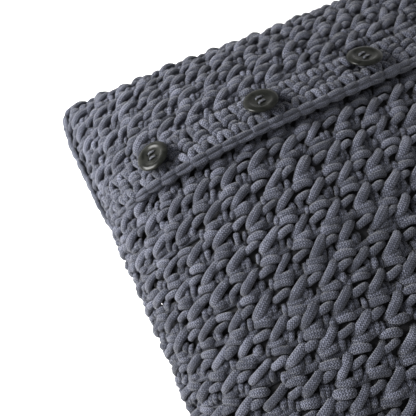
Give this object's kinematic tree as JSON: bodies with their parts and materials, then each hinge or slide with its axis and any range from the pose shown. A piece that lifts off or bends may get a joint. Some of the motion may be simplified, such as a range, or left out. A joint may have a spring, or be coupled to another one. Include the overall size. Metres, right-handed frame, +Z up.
{
  "type": "throw pillow",
  "caption": "Square crocheted throw pillow: envelope cover with a flap buttoned along one edge, over a soft insert.",
  "frame": {"origin": "under the middle of the pillow, on the surface it rests on", "axes": "+Z up out of the buttoned face, +Y towards the folded top edge that the flap hangs from, +X along the row of buttons"},
  "size_m": [0.4202, 0.418, 0.1378],
  "materials": {
    "yarn": "matt cotton tube yarn, crocheted",
    "case": "plain woven cotton, dark",
    "fibre": "loose polyester fibre",
    "button": "glossy",
    "thread": "sewing thread"
  },
  "bodies": {
    "cover": {"insert_filling": "fibre", "insert_case_front": "case", "insert_case_back": "case", "cover_back_panel": "yarn", "cover_front_panel": "yarn", "front_mouth_rim": "yarn", "side_seam_left": "yarn", "side_seam_right": "yarn", "bottom_seam": "yarn", "thread_shank_1": "thread", "thread_shank_2": "thread", "thread_shank_3": "thread", "thread_shank_4": "thread", "thread_shank_5": "thread"},
    "flap": {"flap_panel": "yarn", "flap_end_left": "yarn", "flap_end_right": "yarn", "flap_band": "yarn", "flap_edge_chain": "yarn"},
    "button_1": {"button_1": "button", "button_thread_1": "thread"},
    "button_2": {"button_2": "button", "button_thread_2": "thread"},
    "button_3": {"button_3": "button", "button_thread_3": "thread"},
    "button_4": {"button_4": "button", "button_thread_4": "thread"},
    "button_5": {"button_5": "button", "button_thread_5": "thread"}
  },
  "joints": [
    {"name": "flap_lift", "type": "hinge", "parent": "cover", "child": "flap", "pos_m": [0, 0.209, 0.055], "axis": [-1, 0, 0], "range_deg": [0, 30], "deforming": ["flap_band", "flap_edge_chain", "flap_end_left", "flap_end_right"]},
    {"name": "button_1_turn", "type": "hinge", "parent": "cover", "child": "button_1", "pos_m": [-0.15346, 0.11376, 0.11081], "axis": [-0.3331, 0.382, 0.862], "range_deg": [-40, 40]},
    {"name": "button_2_turn", "type": "hinge", "parent": "cover", "child": "button_2", "pos_m": [-0.07727, 0.11264, 0.1271], "axis": [-0.0764, 0.4415, 0.894], "range_deg": [-40, 40]},
    {"name": "button_3_turn", "type": "hinge", "parent": "cover", "child": "button_3", "pos_m": [0, 0.1122, 0.12957], "axis": [0, 0.4503, 0.8929], "range_deg": [-40, 40]},
    {"name": "button_4_turn", "type": "hinge", "parent": "cover", "child": "button_4", "pos_m": [0.07727, 0.11264, 0.1271], "axis": [0.0764, 0.4415, 0.894], "range_deg": [-40, 40]},
    {"name": "button_5_turn", "type": "hinge", "parent": "cover", "child": "button_5", "pos_m": [0.15346, 0.11376, 0.11081], "axis": [0.3331, 0.382, 0.862], "range_deg": [-40, 40]}
  ]
}
